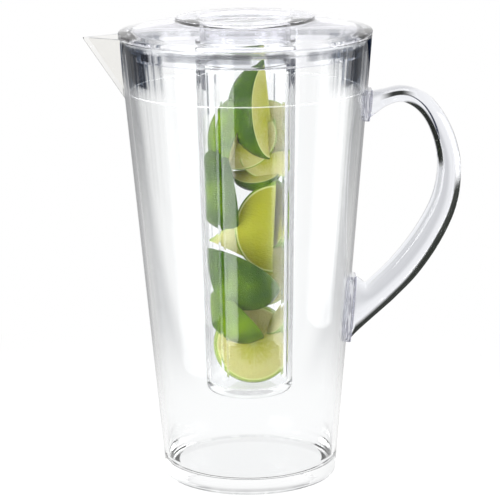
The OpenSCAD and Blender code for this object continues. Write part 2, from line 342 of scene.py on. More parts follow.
class Value:
    """A number in a node tree, so that shader maths reads as an expression."""

    def __init__(self, tree, socket):
        self.tree = tree
        self.socket = socket

    def math(self, operation, *terms):
        """A Math node on this value and others."""
        return self.tree.node("ShaderNodeMath", dict(enumerate((self, *terms))), operation=operation)

    def __add__(self, other):
        return self.math("ADD", other)

    def __sub__(self, other):
        return self.math("SUBTRACT", other)

    def __rsub__(self, other):
        return self.tree.node("ShaderNodeMath", {0: other, 1: self}, operation="SUBTRACT")

    def __mul__(self, other):
        return self.math("MULTIPLY", other)

    def __truediv__(self, other):
        return self.math("DIVIDE", other)

    def __pow__(self, other):
        return self.math("POWER", other)

    def __abs__(self):
        return self.math("ABSOLUTE")

    __radd__ = __add__
    __rmul__ = __mul__

    def between(self, low, high):
        """0 at low and 1 at high, eased between."""
        inputs = {"Value": self, "From Min": low, "From Max": high}
        return self.tree.node("ShaderNodeMapRange", inputs, interpolation_type="SMOOTHSTEP")


class Tree:
    """The node tree of a material or of the world, under construction."""

    def __init__(self, owner):
        owner.use_nodes = True
        self.nodes = owner.node_tree.nodes
        self.links = owner.node_tree.links
        self.nodes.clear()

    def node(self, kind, inputs=None, output=0, **settings):
        """Adds a node with its settings, then its sockets' values or links, and returns one output."""
        made = self.nodes.new(kind)
        for name, value in settings.items():
            setattr(made, name, value)
        for key, value in (inputs or {}).items():
            socket = made.inputs[key]
            if isinstance(value, Value):
                self.links.new(value.socket, socket)
            elif socket.type == "RGBA":
                socket.default_value = (*value, 1)
            else:
                socket.default_value = value
        return Value(self, made.outputs[output]) if len(made.outputs) else None

    def place(self):
        """The point on the piece, in metres."""
        return self.node("ShaderNodeTexCoord", output="Object")

    def parts(self, vector):
        """The three numbers of a vector."""
        first = self.node("ShaderNodeSeparateXYZ", {0: vector})
        return [Value(self, socket) for socket in first.socket.node.outputs]

    def mix(self, share, low, high):
        """A colour between two, by a share."""
        return self.node("ShaderNodeMix", {0: share, 6: low, 7: high}, output=2, data_type="RGBA")

    def noise(self, place, scale, detail=2.0, rough=0.5):
        """Soft noise, from 0 to 1."""
        return self.node(
            "ShaderNodeTexNoise", {"Vector": place, "Scale": scale, "Detail": detail, "Roughness": rough}
        )

    def bump(self, height, distance):
        """A normal from a height, with the distance in metres."""
        return self.node("ShaderNodeBump", {"Height": height, "Distance": distance})

    def lets_lamps_through(self, surface, tint):
        """Glass whose shadows are clear."""
        clear = self.node("ShaderNodeBsdfTransparent", {"Color": tint})
        lamp_ray = self.node("ShaderNodeLightPath", output="Is Shadow Ray")
        self.node("ShaderNodeOutputMaterial", {"Surface": self.mix_shader(lamp_ray, surface, clear)})

    def mix_shader(self, share, low, high):
        """One shader or another, by a share."""
        return self.node("ShaderNodeMixShader", {0: share, 1: low, 2: high})


CLEAR_SHADOW = (0.97, 0.98, 0.98)


def acrylic(name, ripple, clear, edge, ior, gather=3.0, shine=1.0, coat=0.0, streaks=0.0):
    """Clear moulded acrylic: faint waves, scuffs, painted shade at grazing faces that stands in for the dark
    surroundings seen there, and painted upright streaks of that shade if asked.
    """
    t = Tree(bpy.data.materials.new(name))
    place = t.place()
    facing = t.node("ShaderNodeLayerWeight", {"Blend": 0.5}, output="Facing")
    waves = t.noise(place, 28.0, 1.0) * ripple
    # painted shade: share of the edge colour, growing towards grazing faces
    share = facing**gather
    if streaks:
        x, y, z = t.parts(place)
        # painted upright streaks of the edge shade
        upright = t.node("ShaderNodeCombineXYZ", {0: x, 1: y, 2: z * 0.1})
        share = (share + t.noise(upright, 900.0, 1.0).between(0.5, 0.6) * streaks).math("MINIMUM", 1.0)
    surface = clear_plastic(t, place, t.mix(share, clear, edge), waves, ior, shine, coat)
    t.lets_lamps_through(surface, CLEAR_SHADOW)


def clear_plastic(t, place, tint, waves, ior, shine, coat):
    """The surface that all the acrylic pieces share."""
    scuffs = t.noise(place, 260.0, 3.0).between(0.62, 0.8)
    return t.node(
        "ShaderNodeBsdfPrincipled",
        {
            "Base Color": tint,
            "Roughness": scuffs * 0.03 + 0.004,
            "IOR": ior,
            "Specular Tint": (shine, shine, shine),
            "Transmission Weight": 1.0,
            "Coat Weight": coat,
            "Normal": t.bump(waves, MM),
        },
    )


def acrylic_vessel(name):
    """The vessel's acrylic, with painted dark reflections at the edges above the drink, a painted dark band
    under the rim, painted shade at the foot, and softer painted edge shade below the drink's level.
    """
    looks = bpy.context.scene.infuser_finishes
    t = Tree(bpy.data.materials.new(name))
    place = t.place()
    x, y, z = t.parts(place)
    level = bpy.context.scene.infuser_pitcher.drink_z * MM
    facing = t.node("ShaderNodeLayerWeight", {"Blend": 0.5}, output="Facing")
    above = z.between(level - 0.5 * MM, level + 0.5 * MM)
    low = z.between(0.05, level)
    around = (x * x + y * y) ** 0.5
    level_way = t.node("ShaderNodeCombineXYZ", {0: x / around, 1: y / around})
    streaks = t.noise(level_way, 24.0, 3.0).between(0.4, 0.6)
    rim_z = bpy.context.scene.infuser_pitcher.rim_z * MM
    # painted reflection: a dark frame at middling grazing angles just above the drink
    frame = facing.between(0.26, 0.31) * z.between(level, level + 12 * MM)
    frame = frame * (1 - z.between(rim_z - 5 * MM, rim_z - MM) * 0.8)
    # painted shade of the lid's skirt and seal on the wall just under the rim
    skirt = z.between(rim_z - 7 * MM, rim_z - 6 * MM) * (1 - z.between(rim_z - 2 * MM, rim_z - MM))
    skirt = skirt * t.noise(level_way, 5.0, 2.0).between(0.4, 0.5) * 0.5
    # painted dark edges above the drink, from the frame, the grazing faces and the skirt's shade
    dry_share = (frame * (streaks * 0.6 + 0.3) + facing**2.0 * (streaks + 0.2) + skirt).math("MINIMUM", 1.0)
    dry = t.mix(dry_share, looks.acrylic, looks.dry_edge_painted_shade)
    # painted shade at grazing faces below the drink, fading towards the bottom
    wet_share = (facing**2.5 * (streaks * 0.5 + 0.8) * (low * 0.85 + 0.15)).math("MINIMUM", 1.0)
    wet = t.mix(wet_share, looks.acrylic, looks.wet_edge_painted_shade)
    # painted dark shade at the side edges between 130 and 215 mm high
    painted_side_shade = facing**3.0 * z.between(0.13, 0.215) * (streaks * 0.6 + 0.6)
    wet = t.mix(painted_side_shade.math("MINIMUM", 1.0), wet, looks.dry_edge_painted_shade)
    # painted shade at the grazing faces of the lowest 14 mm
    painted_low_shade = facing**2.0 * (1 - z.between(0.002, 0.014)) * 0.35
    wet = t.mix(painted_low_shade, wet, looks.dry_edge_painted_shade)
    # painted shade on the outer ring of the underside
    foot = (1 - z.between(0.001, 0.005)) * around.between(0.045, 0.047)
    foot = foot * t.noise(level_way, 7.0, 2.0).between(0.35, 0.6) * 0.25
    wet = t.mix(foot, wet, looks.dry_edge_painted_shade)
    rings = t.noise(t.node("ShaderNodeCombineXYZ", {2: z}), 500.0, 2.0) * (1 - z.between(0.008, 0.02))
    waves = t.noise(place, 28.0, 1.0) * 0.05 + rings * 0.05
    surface = clear_plastic(t, place, t.mix(above, wet, dry), waves, 1.3, 0.4, 0.0)
    t.lets_lamps_through(surface, CLEAR_SHADOW)


def acrylic_bar(name, ripple, clear, under):
    """The thick bar's acrylic, with painted shade along the edges that face down and aside, and a painted dark
    blotch where the arch bends.
    """
    t = Tree(bpy.data.materials.new(name))
    place = t.place()
    facing = t.node("ShaderNodeLayerWeight", {"Blend": 0.5}, output="Facing")
    x, y, z = t.parts(t.node("ShaderNodeNewGeometry", output="Normal"))
    outside = 1 - t.node("ShaderNodeNewGeometry", output="Backfacing")
    uneven = (t.noise(place, 60.0, 1.0) - 0.5) * 0.1
    down = 1 - z.between(-0.08, 0.04)
    aside = abs(x)
    across, _, up = t.parts(place)
    arch = up.between(0.165, 0.185)
    # painted shade along the edges that face down and aside
    edge = (facing + uneven).between(0.1, 0.17) * down * aside.between(0.15, 0.35) * abs(y).between(0.25, 0.4)
    edge = edge * (1 - arch * x.between(0.0, 0.1))
    # painted dark blotch in the bend under the arch
    bend = (across + uneven * 0.02).between(0.074, 0.083) * (1 - (across + uneven * 0.02).between(0.087, 0.096))
    painted_bend_shade = arch * bend * (z + uneven).between(0.02, 0.12) * (1 - (z + uneven).between(0.62, 0.76))
    # how much of the painted shade covers the bar, on its outer faces only
    dark = (edge + painted_bend_shade).math("MINIMUM", 1.0) * outside
    glass = clear_plastic(t, place, clear, t.noise(place, 28.0, 1.0) * ripple, 1.2, 1.0, 1.0)
    shade = t.node(
        "ShaderNodeBsdfPrincipled", {"Base Color": under, "Roughness": 0.6, "Specular IOR Level": 0.0}
    )
    t.lets_lamps_through(t.mix_shader(dark * 0.97, glass, shade), CLEAR_SHADOW)


def joint_line(name):
    """The fine dark line that the rounded rim of a pad or a foot makes."""
    t = Tree(bpy.data.materials.new(name))
    mottle = t.noise(t.place(), 300.0)
    surface = t.node(
        "ShaderNodeBsdfPrincipled",
        {
            "Base Color": t.mix(mottle, (0.04, 0.04, 0.07), (0.25, 0.25, 0.32)),
            "Roughness": 0.2,
            "Alpha": mottle * 0.3 + 0.6,
        },
    )
    t.lets_lamps_through(surface, CLEAR_SHADOW)


def bonded(name):
    """The two faces of a bonded joint, which light passes straight."""
    t = Tree(bpy.data.materials.new(name))
    mottle = t.noise(t.place(), 400.0)
    surface = t.node(
        "ShaderNodeBsdfPrincipled",
        {
            "Base Color": t.mix(mottle, (0.3, 0.3, 0.37), (0.6, 0.6, 0.66)),
            "Roughness": 0.3,
            "Alpha": mottle * 0.2 + 0.15,
        },
    )
    t.lets_lamps_through(surface, CLEAR_SHADOW)


def sawn(name):
    """The milky satin face that a cut leaves in acrylic, on the sides of the slots."""
    t = Tree(bpy.data.materials.new(name))
    place = t.place()
    surface = t.node(
        "ShaderNodeBsdfPrincipled",
        {
            "Base Color": t.mix(t.noise(place, 300.0), (0.8, 0.82, 0.84), (0.95, 0.95, 0.97)),
            "Roughness": t.noise(place, 700.0) * 0.2 + 0.5,
            "Alpha": 0.14,
            "Normal": t.bump(t.noise(place, 500.0), 0.02 * MM),
        },
    )
    t.lets_lamps_through(surface, (0.93, 0.94, 0.94))


def silicone(name, through, ior):
    """Translucent silicone with a satin skin."""
    looks = bpy.context.scene.infuser_finishes
    t = Tree(bpy.data.materials.new(name))
    place = t.place()
    mottle = t.noise(place, 90.0, 3.0)
    surface = t.node(
        "ShaderNodeBsdfPrincipled",
        {
            "Base Color": t.mix(mottle, looks.silicone, (0.97, 0.97, 0.97)),
            "Roughness": mottle * 0.1 + 0.15,
            "IOR": ior,
            "Transmission Weight": through,
            "Normal": t.bump(t.noise(place, 900.0), 0.02 * MM),
        },
    )
    t.lets_lamps_through(surface, (0.75, 0.75, 0.75))


def drink(name):
    """The skin of the drink, a faint haze with a paler line where it wets the walls."""
    t = Tree(bpy.data.materials.new(name))
    place = t.place()
    z = t.parts(place)[2]
    level = bpy.context.scene.infuser_pitcher.drink_z * MM
    wet = z.between(level + 0.02 * MM, level + 0.3 * MM)
    surface = t.node(
        "ShaderNodeBsdfPrincipled",
        {
            "Base Color": t.mix(t.noise(place, 60.0), (0.9, 0.9, 0.88), (0.97, 0.97, 0.96)),
            "Roughness": 0.05,
            "IOR": 1.33,
            "Alpha": wet * 0.3 + 0.01,
            "Normal": t.bump(t.noise(place, 45.0, 1.0), 0.1 * MM),
        },
    )
    t.lets_lamps_through(surface, (0.98, 0.98, 0.98))


LIME_R = 26.0
LIME_HALF = 30.0
FRUIT_PLACE = "fruit_place"


def lime(name, lightness, paleness):
    """Lime: dimpled peel, thin pale pith, and flesh of fine sacs in ten segments."""
    looks = bpy.context.scene.infuser_finishes
    t = Tree(bpy.data.materials.new(name))
    place = t.node("ShaderNodeAttribute", output="Vector", attribute_name=FRUIT_PLACE)
    x, y, z = t.parts(place)
    across = (x * x + y * y) ** 0.5
    reach = ((across / LIME_R) ** 2.0 + (z / LIME_HALF) ** 2.0) ** 0.5
    angle = y.math("ARCTAN2", x) * (10 / (2 * pi))
    from_wall = abs((angle + 0.5).math("FRACT") - 0.5) * across
    membrane = 1 - from_wall.between(0.1, 0.7)
    core = 1 - across.between(1.0, 3.5)
    drawn = t.node("ShaderNodeCombineXYZ", {0: across * 0.35, 1: angle * 5.0, 2: z * 0.9})
    sacs = t.node("ShaderNodeTexVoronoi", {"Vector": drawn, "Scale": 1.3}, feature="SMOOTH_F1")
    fine = t.noise(drawn, 2.2, 4.0, 0.65)
    wide = t.noise(place, 0.12, 2.0)
    wash = wide.between(0.35, 0.7) * 0.2 + reach.between(0.25, 0.95) * paleness * 1.1
    speckle = (t.noise(place, 1.1, 2.0, 0.7) - 0.5) * 0.9
    share = (sacs + fine) * 0.6 - 0.45 + wash + (paleness - 0.5) * 0.2 + speckle
    flesh = t.mix(share.between(0.0, 1.0), looks.flesh_deep, looks.flesh_pale)
    flesh = t.mix(membrane * 0.25 * (1 - core), flesh, looks.pith)
    flesh = t.mix(core * 0.3, flesh, looks.pith)
    glands = t.node("ShaderNodeTexVoronoi", {"Vector": place, "Scale": 0.8})
    peel_share = (t.noise(place, 0.06, 3.0) - 0.5) * 1.2 + lightness + (1 - glands.between(0.0, 0.35)) * 0.3
    peel = t.mix(peel_share.between(0.0, 1.0), looks.peel_dark, looks.peel_light)
    peel = t.mix(max(paleness - 0.5, 0.0), peel, looks.pith)
    inside = t.mix(reach.between(0.925, 0.945), flesh, looks.pith)
    peel_side = reach.between(0.962, 0.975)
    dimples = glands.between(0.0, 0.5) * peel_side * 0.2
    grain = (sacs + fine) * (1 - peel_side) * 0.3
    surface = t.node(
        "ShaderNodeBsdfPrincipled",
        {
            "Base Color": t.mix(peel_side, inside, peel),
            "Roughness": (1 - peel_side) * fine * 0.2 + 0.22,
            "Specular IOR Level": 0.1,
            "Coat Weight": t.noise(place, 0.5, 3.0, 0.7).between(0.56, 0.66) * 0.3,
            "Coat Roughness": 0.12,
            "Subsurface Weight": 0.2,
            "Subsurface Radius": (0.5, 0.9, 0.2),
            "Subsurface Scale": 0.003,
            "Normal": t.bump(dimples + grain, MM),
        },
    )
    t.node("ShaderNodeOutputMaterial", {"Surface": surface})


class PITCHER_OT_finishes(bpy.types.Operator):
    """Make the materials"""

    bl_idname = "pitcher.finishes"
    bl_label = "Finishes"

    def execute(self, context):
        looks = context.scene.infuser_finishes
        acrylic_vessel("acrylic_pitcher")
        acrylic("acrylic_spout", 0.03, looks.spout_tint, looks.spout_tint, ior=1.15)
        # the pads take painted shade overall, at grazing faces and in upright streaks
        acrylic("acrylic_pad", 0.3, looks.pad_painted_shade, looks.pad_edge_painted_shade, gather=1.5, ior=1.2, streaks=0.8)
        # the handle takes painted shade along its lower edges and in its bend
        acrylic_bar("acrylic_handle", 0.03, looks.bar_tint, looks.under_edge_painted_shade)
        # the lid takes painted shade at its grazing faces
        acrylic("acrylic_lid", 0.02, looks.lid_tint, looks.lid_edge_painted_shade, gather=3.0, ior=1.1, coat=0.6)
        # the tube takes painted shade at its grazing faces
        acrylic(
            "acrylic_tube", 0.04, looks.acrylic, looks.tube_edge_painted_shade, gather=6.0, ior=1.15, shine=0.3, coat=0.4
        )
        # the spout's rims are painted near black as shade
        acrylic("acrylic_rim", 0.03, looks.under_edge_painted_shade, looks.under_edge_painted_shade, ior=1.15)
        # the inner corner takes painted shade at its grazing faces
        acrylic("acrylic_corner", 0.03, looks.acrylic, looks.wet_edge_painted_shade, ior=1.12)
        bonded("acrylic_bond")
        joint_line("acrylic_line")
        sawn("acrylic_sawn")
        silicone("silicone_seal", 0.92, 1.1)
        silicone("silicone_gasket", 0.5, 1.41)
        drink("drink")
        lime("lime_dark", 0.2, 0.4)
        lime("lime_mid", 0.45, 0.5)
        lime("lime_ripe", 0.8, -0.2)
        lime("lime_light", 0.8, 0.6)
        lime("lime_pale", 0.9, 0.8)
        return {"FINISHED"}


# Pitcher

def wall_r(s, z):
    """Outer radius of the pitcher at a height, in millimetres."""
    return s.base_r + (s.rim_r - s.base_r) * z / s.rim_z


def bore_r(s, z):
    """Inner radius of the pitcher at a height, in millimetres."""
    return wall_r(s, z) - s.wall


def lean(s):
    """Lean of the wall from the upright."""
    return atan2(s.rim_r - s.base_r, s.rim_z)


def spout_wedge(s, setback, top_z, blunt=0.0, edge=0.0):
    """A bmesh of the spout's V: two flat sides that meet along the keel."""
    root_x = -(s.rim_r - 3 * s.wall - 2.8)
    tip_x = -(s.rim_r + s.spout_reach) + setback - (top_z - s.rim_z) * tan(s.keel_angle)
    run = root_x - tip_x
    side = run * tan(s.spout_angle)
    corners = [(tip_x, 0, top_z), (root_x, side, top_z), (root_x, -side, top_z)]
    corners.append((root_x, 0, top_z - run / tan(s.keel_angle)))
    bm = bmesh.new()
    verts = [bm.verts.new(Vector(c) * MM) for c in corners]
    bmesh.ops.convex_hull(bm, input=verts)
    if blunt:
        bmesh.ops.bisect_plane(
            bm, geom=bm.verts[:] + bm.edges[:] + bm.faces[:], plane_co=((tip_x + blunt) * MM, 0, 0),
            plane_no=(-1, 0, 0), clear_outer=True,
        )
        bmesh.ops.holes_fill(bm, edges=bm.edges, sides=0)
    if edge:
        bmesh.ops.bevel(
            bm, geom=bm.edges[:], offset=edge * MM, segments=3, affect="EDGES", profile=0.5, material=-1
        )
    bmesh.ops.recalc_face_normals(bm, faces=bm.faces)
    return bm


def past_wall(s, obj, face, side):
    """Whether an upright face reaches out past the round wall on one side, as the spout and the pads do."""
    corners = [obj.data.vertices[i].co / MM for i in face.vertices]
    outermost = max(c.x * side - wall_r(s, c.z) for c in corners)
    return outermost > 0.3 and abs(face.normal.z) < 0.9


def pad_height(s, face):
    """How far a face's middle stands out from the wall's line, and how squarely it faces away from it."""
    away = Vector((cos(lean(s)), 0, -sin(lean(s))))
    return (face.center / MM - Vector((s.base_r, 0, 0))).dot(away), abs(face.normal.dot(away))


def on_pad(s, face, out):
    """Whether a face lies level with a pad's face, at a distance out from the wall."""
    height, square = pad_height(s, face)
    return abs(height - out) < 0.06 and square > 0.999


def by_joint(s, face):
    """Whether a face is on the rounded rim of a pad or of the handle's foot."""
    height, square = pad_height(s, face)
    return s.pad_t - 0.5 < height < s.pad_t + s.joint + 0.4 and 0.1 < square < 0.99


def in_corner(s, face):
    """Whether a face is on the rounding between the vessel's floor and its wall."""
    middle = face.center / MM
    return s.floor + 0.02 < middle.z < s.floor + s.corner and middle.xy.length < bore_r(s, middle.z) + 0.1


def pad_block(s, z, height):
    """A bmesh of one flat pad on the wall, with rounded corners."""
    root = s.wall / 2
    bm = bmesh.new()
    bmesh.ops.create_cube(bm, size=1)
    bmesh.ops.scale(bm, vec=(root + s.pad_t, s.pad_w, height), verts=bm.verts)
    corners = [e for e in bm.edges if abs(e.verts[0].co.x - e.verts[1].co.x) > root]
    bmesh.ops.bevel(
        bm, geom=corners, offset=s.pad_w / 4, segments=8, affect="EDGES", profile=0.5, material=-1
    )
    face_rim = [e for e in bm.edges if all(v.co.x > 0 for v in e.verts)]
    bmesh.ops.bevel(bm, geom=face_rim, offset=0.5, segments=3, affect="EDGES", profile=0.5, material=-1)
    bmesh.ops.translate(bm, vec=((s.pad_t - root) / 2, 0, 0), verts=bm.verts)
    bmesh.ops.rotate(bm, verts=bm.verts, matrix=Matrix.Rotation(lean(s), 3, "Y"))
    bmesh.ops.translate(bm, vec=(wall_r(s, z), 0, z), verts=bm.verts)
    bmesh.ops.scale(bm, vec=(MM, MM, MM), verts=bm.verts)
    bmesh.ops.recalc_face_normals(bm, faces=bm.faces)
    return bm


class PITCHER_OT_body(bpy.types.Operator):
    """Make the pitcher with its spout and handle pads"""

    bl_idname = "pitcher.body"
    bl_label = "Pitcher"

    def execute(self, context):
        s = context.scene.infuser_pitcher
        body = new_object("pitcher_vessel", turned(rounded([
            (0, 0), (s.base_r, 0, s.edge), (s.rim_r, s.rim_z, s.rim_edge), (0, s.rim_z)
        ])))
        carve(body, spout_wedge(s, 0, s.rim_z, s.spout_blunt, s.rim_edge), "UNION")
        carve(body, pad_block(s, s.upper_pad_z, s.upper_pad_h), "UNION")
        carve(body, pad_block(s, s.lower_pad_z, s.lower_pad_h), "UNION")
        top_z = s.rim_z + OVERRUN
        mouth_r = bore_r(s, s.rim_z)
        carve(body, turned(rounded([
            (0, s.floor), (bore_r(s, s.floor), s.floor, s.corner),
            (bore_r(s, s.rim_z - s.rim_edge), s.rim_z - s.rim_edge),
            (mouth_r + s.rim_edge, s.rim_z), (mouth_r + s.rim_edge, top_z), (0, top_z),
        ], arc_steps=8)))
        carve(body, spout_wedge(s, s.spout_setback, top_z))
        cones = [
            (0, s.base_r, s.rim_z, s.rim_r, 1),
            (0, s.base_r - s.wall, s.rim_z, mouth_r, -1),
        ]
        finish_piece(body, "acrylic_pitcher", "pitcher", ["pitcher_body"], cones)
        add_finish(body, "acrylic_spout", lambda face: past_wall(s, body, face, -1), flat=True)
        # painted shade: the spout's narrow rim faces take a near-black colour
        add_finish(body, "acrylic_rim", lambda face: past_wall(s, body, face, -1) and len(face.vertices) <= 4)
        # the pads take painted shade
        add_finish(body, "acrylic_pad", lambda face: past_wall(s, body, face, 1))
        add_finish(body, "acrylic_bond", lambda face: on_pad(s, face, s.pad_t))
        add_finish(body, "acrylic_line", lambda face: by_joint(s, face))
        # painted shade on the rounding between floor and wall
        add_finish(body, "acrylic_corner", lambda face: in_corner(s, face))
        return {"FINISHED"}


HANDLE_SHARES = (
    (0.16, 1.034, 0.07), (0.39, 1.051, 0.0), (0.63, 1.014, 0.16), (0.81, 0.935, 0.23), (0.945, 0.82, 0.37),
    (1.0, 0.684, 0.51), (0.933, 0.522, 0.7), (0.726, 0.361, 0.86), (0.438, 0.212, 0.98), (0.161, 0.106, 1.02),
    (-0.03, 0.045, 1.25),
)


def smooth_curve(points, steps):
    """A smooth curve through a list of vectors."""
    line = [points[0] * 2 - points[1], *points, points[-1] * 2 - points[-2]]
    made = []
    for a, b, c, d in zip(line, line[1:], line[2:], line[3:]):
        for k in range(steps):
            u = k / steps
            made.append(
                (b * 2 + (c - a) * u + (a * 2 - b * 5 + c * 4 - d) * u**2 + (b * 3 - a - c * 3 + d) * u**3) / 2
            )
    return made + [points[-1]]


def ease(share):
    """0 to 1 with a gentle start and end."""
    share = max(0.0, min(1.0, share))
    return share * share * (3 - 2 * share)


class PITCHER_OT_handle(bpy.types.Operator):
    """Make the solid bar handle"""

    bl_idname = "pitcher.handle"
    bl_label = "Handle"

    steps = 6
    sides = 48
    foot_rings = 10

    def execute(self, context):
        s = context.scene.infuser_pitcher
        face = (s.pad_t + s.joint) / cos(lean(s))
        top = Vector((wall_r(s, s.upper_pad_z) + face, s.upper_pad_z, s.upper_pad_h - 2 * s.pad_margin))
        low = Vector((wall_r(s, s.lower_pad_z) + face, s.lower_pad_z, s.lower_pad_h - 2 * s.pad_margin))
        between = [
            Vector((
                s.rim_r + reach * s.handle_reach,
                low.y + height * (top.y - low.y),
                s.handle_thin + thick * (s.handle_thick - s.handle_thin),
            ))
            for reach, height, thick in HANDLE_SHARES
        ]
        line = smooth_curve([top, *between, low], self.steps)
        bm = bmesh.new()
        rings = [self.ring(bm, s, line, k) for k in range(len(line))]
        for a, b in zip(rings, rings[1:]):
            bmesh.ops.bridge_loops(bm, edges=a + b)
        bmesh.ops.edgeloop_fill(bm, edges=rings[0])
        bmesh.ops.edgeloop_fill(bm, edges=rings[-1])
        bmesh.ops.recalc_face_normals(bm, faces=bm.faces)
        bmesh.ops.bevel(
            bm, geom=rings[0] + rings[-1], offset=0.4 * MM, segments=2, affect="EDGES", profile=0.5, material=-1
        )
        bar = new_object("bar_handle", bm)
        finish_piece(bar, "acrylic_handle", "pitcher", ["handle"])
        add_finish(bar, "acrylic_bond", lambda face: on_pad(s, face, s.pad_t + s.joint))
        add_finish(bar, "acrylic_line", lambda face: by_joint(s, face))
        return {"FINISHED"}

    def ring(self, bm, s, line, k):
        """One oval section of the bar, as its edges."""
        last = len(line) - 1
        wall_up = Vector((sin(lean(s)), cos(lean(s))))
        ahead = line[min(k + 1, last)] - line[max(k - 1, 0)]
        across = Vector((-ahead.y, ahead.x)).normalized()
        from_foot = min(k, last - k) / self.foot_rings
        if from_foot < 1:
            foot_axis = wall_up if k < self.foot_rings else -wall_up
            across = foot_axis.lerp(across, ease(from_foot)).normalized()
        foot_w = s.pad_w - 2 * s.pad_margin
        width = s.handle_w + (foot_w - s.handle_w) * (1 - min(1, from_foot)) ** 2
        verts = bmesh.ops.create_circle(bm, segments=self.sides, radius=1)["verts"]
        for v in verts:
            high, wide = (abs(c) ** 0.85 * (1 if c > 0 else -1) for c in v.co.xy)
            reach = high * line[k].z / 2
            v.co = Vector((line[k].x + across.x * reach, wide * width / 2, line[k].y + across.y * reach)) * MM
        return list({e for v in verts for e in v.link_edges})


class PITCHER_OT_drink(bpy.types.Operator):
    """Make the drink's surface, a thin clear skin that climbs the walls a little"""

    bl_idname = "pitcher.drink"
    bl_label = "Drink"

    skin = 0.4
    climb = 0.7
    climb_w = 0.9
    gap = 0.25
    tube_gap = 0.7

    def execute(self, context):
        s = context.scene.infuser_pitcher
        tube = context.scene.infuser_tube
        z = s.drink_z
        out_r = bore_r(s, z) - self.gap
        in_r = tube_r(tube, z) + self.tube_gap
        outline = [
            (out_r, z + self.climb), (out_r - self.climb_w, z), (in_r, z), (in_r, z - self.skin),
            (out_r, z - self.skin),
        ]
        skin = new_object("drink_surface", turned(rounded(outline), closed=True))
        finish_piece(skin, "drink", "pitcher")
        return {"FINISHED"}


# Lid

class PITCHER_OT_lid(bpy.types.Operator):
    """Make the lid with its flange, hub, skirt, shoulder and plug"""

    bl_idname = "pitcher.lid"
    bl_label = "Lid"

    seat_gap = 0.06

    def execute(self, context):
        s = context.scene.infuser_lid
        rim = context.scene.infuser_pitcher.rim_z
        seat = rim + self.seat_gap
        top = rim + s.flange_t
        dish = s.hub_z - s.dish_depth
        hub_edge = s.hub_z - s.hub_step
        under = hub_edge - s.shell
        skirt_in = s.skirt_r - s.skirt_t
        rise = (hub_edge - top) / (s.flange_r - s.hub_r)
        plug_in = s.plug_r - s.shell
        shoulder_r = context.scene.infuser_tube.top_r
        lid = new_object("round_lid", turned(rounded([
            (0, dish), (s.dish_floor_r, dish, 2.5), (s.dish_r, s.hub_z, 1.2), (s.hub_r, s.hub_z, 0.5),
            (s.hub_r, hub_edge, 0.2), (s.flange_r, top, 0.9), (s.flange_r, seat, 0.4),
            (s.skirt_r, seat), (s.skirt_r, s.groove_top, 0.2), (s.skirt_r - s.groove_d, s.groove_top),
            (s.skirt_r - s.groove_d, s.groove_low), (s.skirt_r, s.groove_low, 0.2), (s.skirt_r, s.skirt_z, 0.8),
            (skirt_in, s.skirt_z, 0.8), (skirt_in, top + (s.flange_r - skirt_in) * rise - s.shell, 1.5),
            (s.hub_r, under, 1.0), (s.plug_r, under, 1.5), (s.plug_r, s.shoulder_z + s.shoulder_t, 0.5),
            (shoulder_r, s.shoulder_z + s.shoulder_t, 0.4), (shoulder_r, s.shoulder_z, 0.4),
            (s.plug_r, s.shoulder_z), (s.plug_r, s.plug_z, 0.6), (plug_in, s.plug_z, 0.6),
            (plug_in, dish - s.shell, 1.5), (0, dish - s.shell),
        ], arc_steps=4)))
        gap = rounded([
            (skirt_in - OVERRUN, s.skirt_z - OVERRUN), (s.skirt_r + OVERRUN, s.skirt_z - OVERRUN),
            (s.skirt_r + OVERRUN, s.pour_gap_z), (skirt_in - OVERRUN, s.pour_gap_z),
        ])
        carve(lid, part_turned(gap, pi - s.pour_gap / 2, s.pour_gap))
        cones = [
            (s.skirt_z, s.skirt_r, rim, s.skirt_r, 1),
            (s.skirt_z, skirt_in, rim, skirt_in, -1),
        ]
        finish_piece(lid, "acrylic_lid", "lid", ["lid"], cones)
        return {"FINISHED"}


class PITCHER_OT_seals(bpy.types.Operator):
    """Make the skirt's seal ring and the tube's gasket"""

    bl_idname = "pitcher.seals"
    bl_label = "Seals"

    slack = 0.3
    lip_half = 0.35
    gasket_slack = 0.05

    def execute(self, context):
        s = context.scene.infuser_lid
        in_r = s.skirt_r - s.groove_d + self.slack
        low = s.groove_low + self.slack
        high = s.groove_top - self.slack
        middle = (low + high) / 2
        seal = new_object("skirt_seal", turned(rounded([
            (in_r, low, 0.4), (s.skirt_r, low, 0.3), (s.lip_r, middle - self.lip_half, 0.3),
            (s.lip_r, middle + self.lip_half, 0.3), (s.skirt_r, high, 0.3), (in_r, high, 0.4),
        ]), closed=True))
        finish_piece(seal, "silicone_seal", "seal_ring", ["lid_seal"])
        tube = context.scene.infuser_tube
        ring_in = s.plug_r + self.slack
        low, high = tube.top_z + self.gasket_slack, s.shoulder_z - self.gasket_slack
        gasket = new_object("tube_gasket", turned(rounded([
            (ring_in, low, 0.5), (tube.top_r, low, 0.5), (tube.top_r, high, 0.5), (ring_in, high, 0.5),
        ]), closed=True))
        finish_piece(gasket, "silicone_gasket", "gasket", ["infuser_gasket"])
        return {"FINISHED"}


# Tube

def tube_r(s, z):
    """Outer radius of the tube at a height, in millimetres."""
    return s.bottom_r + (s.top_r - s.bottom_r) * (z - s.bottom_z) / (s.top_z - s.bottom_z)


# Radius at which a slot's cutting bar starts, well inside the tube, in millimetres.
SLOT_START_R = 8.0


